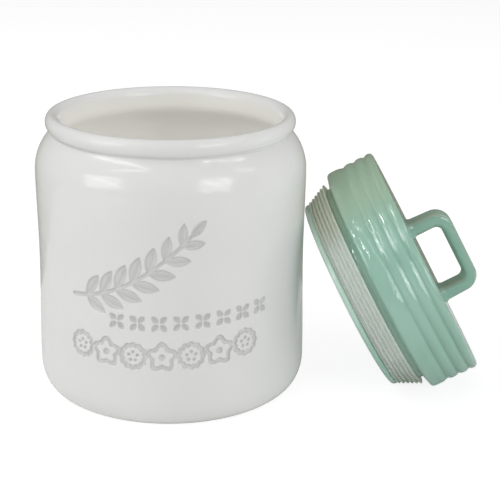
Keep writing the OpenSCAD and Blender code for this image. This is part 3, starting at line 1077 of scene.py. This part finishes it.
# Tubes and panes that only show as reflections, by the one piece that mirrors them, or all: from and to,
# each as azimuth and elevation in degrees, thickness in metres, and share of the tubes' brightness.
TUBES = {
    "glazed_jar": (
        ((-92, 43.5), (-37, 55), 0.05, 0.9),
        ((-63, 35), (-26, 52), 0.04, 1.0),
        ((-67, 18), (-58, 20), 0.07, 0.6),
        ((-53, 17), (-46, 15), 0.09, 0.5),
        ((-15, 33), (-12, 33), 0.03, 0.8),
    ),
    "ribbed_lid": (
        ((-72, 60), (-51, 58), 0.05, 0.9),
        ((-92, 26), (-88, 29), 0.12, 2.2),
        ((-86, 31), (-83, 34), 0.10, 2.2),
        ((-80, 36), (-76, 40), 0.12, 2.2),
        ((-75, 41), (-71, 28), 0.12, 2.0),
        ((-46, 50), (-27, 33), 0.05, 1.6),
        ((-77, 22), (-61, 8), 0.04, 2.0),
        ((-60, 66), (-6, 50), 0.05, 0.5),
        ((-6, 50), (25, 18), 0.05, 0.5),
    ),
    "strap_handle": (
        ((-82, 69), (8, 56), 0.06, 0.4),
        ((8, 56), (24, 12), 0.06, 0.5),
    ),
    "all": (
        ((37, 61), (69, 54), 0.05, 1.0),
        ((73, 52.5), (85, 45.5), 0.05, 1.0),
        ((61, 39), (75, 30), 0.04, 0.9),
        ((27, 26), (39, 17), 0.07, 0.5),
        ((43, 27), (47, 17), 0.07, 0.4),
        ((22, 12), (29, 4), 0.07, 0.3),
    ),
}


def make_camera(stage):
    """Camera at the given place, panned, pitched down and leaned, with a square 36 mm frame."""
    pan, pitch, roll = stage.pan, stage.pitch, stage.roll
    level = Vector((-math.sin(pan), math.cos(pan), 0))
    side = Vector((math.cos(pan), math.sin(pan), 0))
    upright = Vector((0, 0, 1))
    ahead = level * math.cos(pitch) - upright * math.sin(pitch)
    above = upright * math.cos(pitch) + level * math.sin(pitch)
    right = side * math.cos(roll) + above * math.sin(roll)
    top = above * math.cos(roll) - side * math.sin(roll)
    data = bpy.data.cameras.new("camera")
    data.sensor_width, data.lens = 36, stage.focal
    data.clip_start, data.clip_end = 0.05, 60
    camera = bpy.data.objects.new("camera", data)
    turn = Matrix((right, top, -ahead)).transposed().to_4x4()
    camera.matrix_world = Matrix.Translation((0, -stage.camera_y, stage.camera_z)) @ turn
    bpy.context.scene.collection.objects.link(camera)
    bpy.context.scene.camera = camera


def away(azimuth, elevation):
    """Unit vector to a direction in degrees, azimuth counted from -Y towards +X."""
    a, e = math.radians(azimuth), math.radians(elevation)
    return Vector((math.sin(a) * math.cos(e), -math.cos(a) * math.cos(e), math.sin(e)))


def new_lamp(name, shape, width, height, brightness):
    """Flat lamp that the camera doesn't see, sizes in metres. Its power is its brightness times pi times
    its area."""
    data = bpy.data.lights.new(name, "AREA")
    data.shape, data.size, data.size_y = shape, width, height
    area = width * height * (math.pi / 4 if shape == "DISK" else 1)
    data.energy = brightness * math.pi * area
    lamp = bpy.data.objects.new(name, data)
    lamp.visible_camera = False
    bpy.context.scene.collection.objects.link(lamp)
    return lamp


def light_only(lamp, name):
    """Keeps a lamp's light, and its reflection, to one piece."""
    if name not in bpy.data.objects:
        raise RuntimeError(f"{name} has to be made before the lamps that are for it alone")
    receivers = bpy.data.collections.new(lamp.name)
    receivers.objects.link(bpy.data.objects[name])
    lamp.light_linking.receiver_collection = receivers


def make_fill(name, azimuth, elevation, width, height, brightness, shadow=True):
    """Soft lamp in a direction, which faces the aim and which no glaze mirrors."""
    lamp = new_lamp(name, "RECTANGLE", width, height, brightness)
    lamp.data.use_shadow = shadow
    lamp.visible_glossy = False
    facing = away(azimuth, elevation)
    turn = facing.to_track_quat("Z", "Y").to_matrix().to_4x4()
    lamp.matrix_world = Matrix.Translation(LAMP_AIM + facing * LAMP_DISTANCE) @ turn
    return lamp


def make_strip(name, start, end, thick, brightness):
    """Lamp that reaches straight from one direction to another, each given as azimuth and elevation, and
    faces the aim."""
    first, last = (LAMP_AIM + away(*place) * LAMP_DISTANCE for place in (start, end))
    middle, along = (first + last) / 2, last - first
    lamp = new_lamp(name, "RECTANGLE", along.length, thick, brightness)
    x = along.normalized()
    z = middle - LAMP_AIM
    z = (z - z.dot(x) * x).normalized()
    lamp.matrix_world = Matrix.Translation(middle) @ Matrix((x, z.cross(x), z)).transposed().to_4x4()
    return lamp


def make_mouth_lamp(brightness, rim_z):
    """Small round lamp just above the jar's rim that faces down and lights the inside. Neither the camera
    nor the glaze sees it. It stands for the light that a white jar passes round between its inner walls."""
    width, above_rim = 90 * MM, 1.4 * MM
    lamp = new_lamp("mouth_lamp", "DISK", width, width, brightness)
    lamp.location = (0, 0, rim_z + above_rim)
    lamp.visible_glossy = False


def make_board(name, corner, across, along, material):
    """Flat board that belongs to the stage, from one corner and the two edges that leave it."""
    corner, across, along = Vector(corner), Vector(across), Vector(along)
    mesh = bpy.data.meshes.new(name)
    corners = [corner, corner + across, corner + across + along, corner + along]
    mesh.from_pydata(corners, [], [(0, 1, 2, 3)])
    mesh.materials.append(material)
    board = bpy.data.objects.new(name, mesh)
    bpy.context.scene.collection.objects.link(board)
    return board


def make_flag(name, corner, across, along):
    """Dark olive board that only mirrored rays see, so that the glaze has something to mirror beside the
    lamps. It casts no shadow."""
    olive = (0.22, 0.215, 0.17)
    dark = Sheet.of_material(name).end("ShaderNodeEmission", {"Color": olive, "Strength": 1.0})
    flag = make_board(name, corner, across, along, dark)
    flag.visible_camera = flag.visible_diffuse = flag.visible_shadow = False
    flag.visible_transmission = flag.visible_volume_scatter = False


def seen_rays(sheet):
    """1 for rays that come straight from the camera and show the background."""
    return Field(sheet, sheet.add("ShaderNodeLightPath").outputs["Is Camera Ray"])


def make_floor():
    """Pale floor. What is seen of it is part white light and part plain floor, so it is white and keeps
    the object's soft shadow."""
    wide = 12.0
    sheet = Sheet.of_material("pale_floor")
    plain = sheet.add("ShaderNodeBsdfDiffuse", {}, {"Color": (0.86, 0.86, 0.85)}).outputs[0]
    faint = sheet.add("ShaderNodeBsdfDiffuse", {}, {"Color": (0.3, 0.3, 0.3)}).outputs[0]
    glow = sheet.add("ShaderNodeEmission", {}, {"Color": (1, 1, 1), "Strength": 0.84}).outputs[0]
    seen = sheet.add("ShaderNodeAddShader", {}, {0: faint, 1: glow}).outputs[0]
    pale = sheet.end("ShaderNodeMixShader", {0: seen_rays(sheet), 1: plain, 2: seen})
    make_board("floor", (-wide / 2, -wide / 2, 0), (wide, 0, 0), (0, wide, 0), pale)


def make_world(stage):
    """Even light from all round, and plain white where the background is seen."""
    world = bpy.data.worlds.new("studio")
    bpy.context.scene.world = world
    sheet = Sheet(world, "ShaderNodeOutputWorld")
    strength = stage.sky + seen_rays(sheet) * (1 - stage.sky)
    sheet.end("ShaderNodeBackground", {"Color": (1, 1, 1), "Strength": strength})


def make_stage(settings):
    """Camera, floor, even sky light, windows and tubes that the glaze mirrors, soft fills that it doesn't,
    a lamp in the mouth and dark boards to mirror."""
    stage = settings.stage
    make_camera(stage)
    make_floor()
    make_world(stage)
    make_strip("left_window", (-75, 11), (-43, 20.5), 0.5, stage.left_window)
    make_strip("right_window", (21, 22), (49, 16), 0.7, stage.right_window)
    for piece, tubes in TUBES.items():
        for i, (start, end, thick, share) in enumerate(tubes):
            tube = make_strip(f"tube_{piece}_{i}", start, end, thick, share * stage.tubes)
            tube.visible_diffuse = False
            if piece != "all":
                light_only(tube, piece)
    for name, (azimuth, elevation, width, height) in FILLS.items():
        make_fill(name, azimuth, elevation, width, height, getattr(stage, name))
    right_fill = make_fill("right_fill", 86, 8, 0.6, 0.8, stage.right_fill, shadow=False)
    light_only(right_fill, "glazed_jar")
    make_fill("gap_fill", 88, 12, 0.6, 0.8, stage.gap_fill, shadow=False)
    make_mouth_lamp(stage.mouth_lamp, settings.jar.height)
    make_flag("dark_ceiling", (-3, -3, 2), (6, 0, 0), (0, 6, 0))
    make_flag("dark_back", (-3, 2.5, 0), (6, 0, 0), (0, 0, 2))
    make_flag("dark_ground", (-3, 0.16, 0.001), (6, 0, 0), (0, 2.34, 0))
    bpy.context.scene.view_settings.view_transform = "Standard"


# ---------------------------------------------------------------- operators and panel


class BISCUITJAR_OT_jar(bpy.types.Operator):
    """Make the glazed jar with its pressed ornament"""

    bl_idname = "biscuit_jar.jar"
    bl_label = "Glazed Jar"

    def execute(self, context):
        make_jar(context.scene.biscuit_jar)
        return {"FINISHED"}


class BISCUITJAR_OT_lid(bpy.types.Operator):
    """Make the ribbed lid that lies beside the jar"""

    bl_idname = "biscuit_jar.lid"
    bl_label = "Ribbed Lid"

    def execute(self, context):
        make_lid(context.scene.biscuit_jar)
        return {"FINISHED"}


class BISCUITJAR_OT_seal(bpy.types.Operator):
    """Make the finned silicone seal in the lid's groove"""

    bl_idname = "biscuit_jar.seal"
    bl_label = "Finned Seal"

    def execute(self, context):
        make_seal(context.scene.biscuit_jar)
        return {"FINISHED"}


class BISCUITJAR_OT_handle(bpy.types.Operator):
    """Make the strap handle on the lid"""

    bl_idname = "biscuit_jar.handle"
    bl_label = "Strap Handle"

    def execute(self, context):
        make_handle(context.scene.biscuit_jar)
        return {"FINISHED"}


class BISCUITJAR_OT_stage(bpy.types.Operator):
    """Make the camera, the lamps, the sky and the pale floor"""

    bl_idname = "biscuit_jar.stage"
    bl_label = "Studio"

    def execute(self, context):
        make_stage(context.scene.biscuit_jar)
        return {"FINISHED"}


class BISCUITJAR_PT_panel(bpy.types.Panel):
    """Lists the sizes and finishes, and a button for each piece"""

    bl_idname = "BISCUITJAR_PT_panel"
    bl_label = "Biscuit Jar"
    bl_space_type = "VIEW_3D"
    bl_region_type = "UI"
    bl_category = "Biscuit Jar"

    def draw(self, context):
        settings = context.scene.biscuit_jar
        for group, operator in (
            ("jar", "biscuit_jar.jar"),
            ("panel", None),
            ("lid", "biscuit_jar.lid"),
            ("seal", "biscuit_jar.seal"),
            ("handle", "biscuit_jar.handle"),
            ("finishes", None),
            ("stage", "biscuit_jar.stage"),
        ):
            box = self.layout.box()
            box.label(text=group.capitalize())
            values = getattr(settings, group)
            for key in values.__annotations__:
                box.prop(values, key)
            if operator:
                box.operator(operator)


CLASSES = (
    JarSizes,
    PanelSizes,
    LidSizes,
    SealSizes,
    HandleSizes,
    Finishes,
    StageSettings,
    BiscuitJarSettings,
    BISCUITJAR_OT_jar,
    BISCUITJAR_OT_lid,
    BISCUITJAR_OT_seal,
    BISCUITJAR_OT_handle,
    BISCUITJAR_OT_stage,
    BISCUITJAR_PT_panel,
)


def register():
    """Registers every class and hangs the settings on the scene."""
    for item in CLASSES:
        bpy.utils.register_class(item)
    bpy.types.Scene.biscuit_jar = PointerProperty(type=BiscuitJarSettings)


def unregister():
    """Takes the settings and the classes away again."""
    del bpy.types.Scene.biscuit_jar
    for item in reversed(CLASSES):
        bpy.utils.unregister_class(item)


def main():
    """Makes every piece and the stage."""
    register()
    bpy.ops.biscuit_jar.jar()
    bpy.ops.biscuit_jar.lid()
    bpy.ops.biscuit_jar.seal()
    bpy.ops.biscuit_jar.handle()
    bpy.ops.biscuit_jar.stage()


if __name__ == "__main__":
    main()
